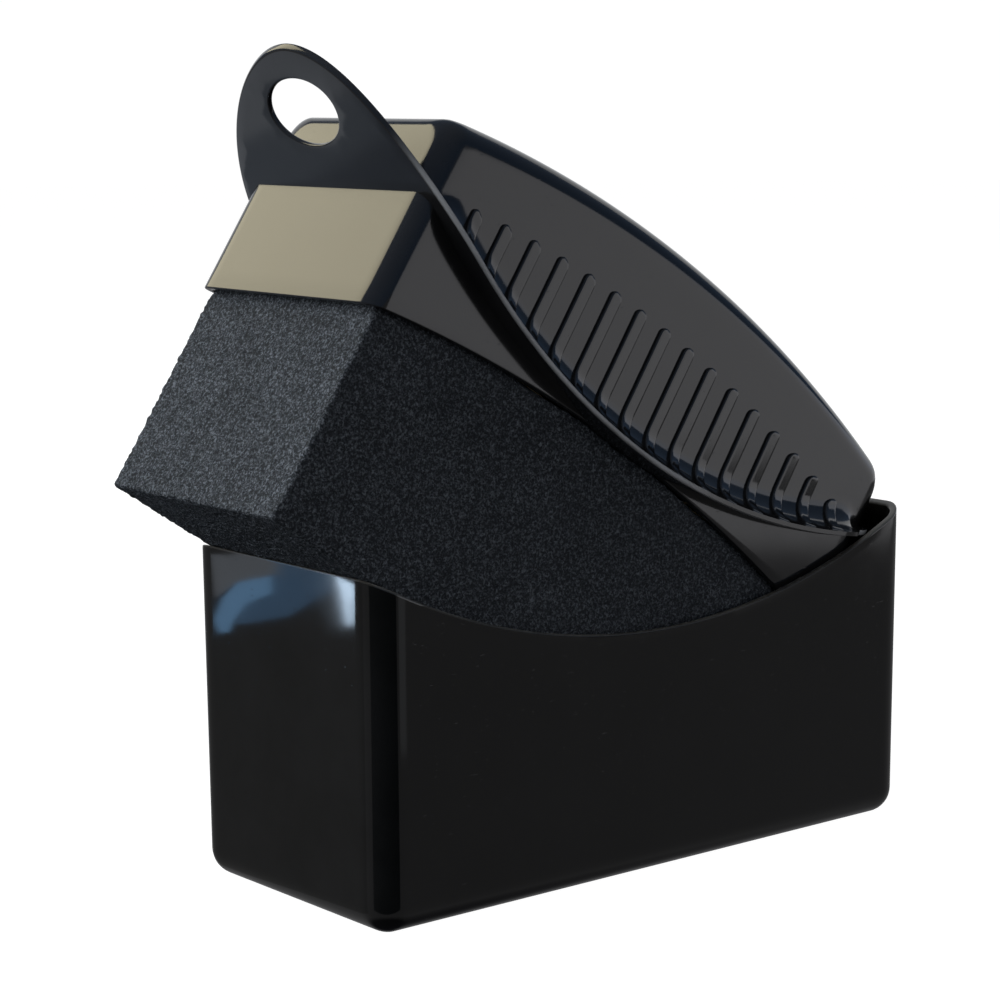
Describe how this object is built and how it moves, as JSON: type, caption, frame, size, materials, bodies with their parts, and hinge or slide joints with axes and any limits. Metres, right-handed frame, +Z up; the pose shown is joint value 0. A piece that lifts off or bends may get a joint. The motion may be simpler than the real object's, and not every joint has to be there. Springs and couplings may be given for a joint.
{
  "type": "foam wiping pad in storage case",
  "caption": "Foam block glued under a hollow ribbed grip with a hang tab, parked nose up on an open plastic storage case.",
  "frame": {"origin": "centre of the storage case's flat base", "axes": "+Z up out of the case's mouth, +X along the case from the hang tab's end to the back, +Y across the case"},
  "size_m": [0.171, 0.071, 0.1748],
  "materials": {
    "case_plastic": "gloss black injection-moulded plastic with light handling marks",
    "grip_plastic": "black injection-moulded plastic, polished end faces and slightly satin sides",
    "foam": "open-cell charcoal foam, cut faces",
    "hot_melt": "set hot-melt adhesive"
  },
  "bodies": {
    "case": {"storage_case": "case_plastic"},
    "pad": {"grip_shell": "grip_plastic", "foam_block": "foam", "adhesive": "hot_melt"}
  },
  "joints": [
    {"name": "pad_lift", "type": "slide", "parent": "case", "child": "pad", "axis": [0, 0, 1], "range_m": [0, 0.11]}
  ]
}
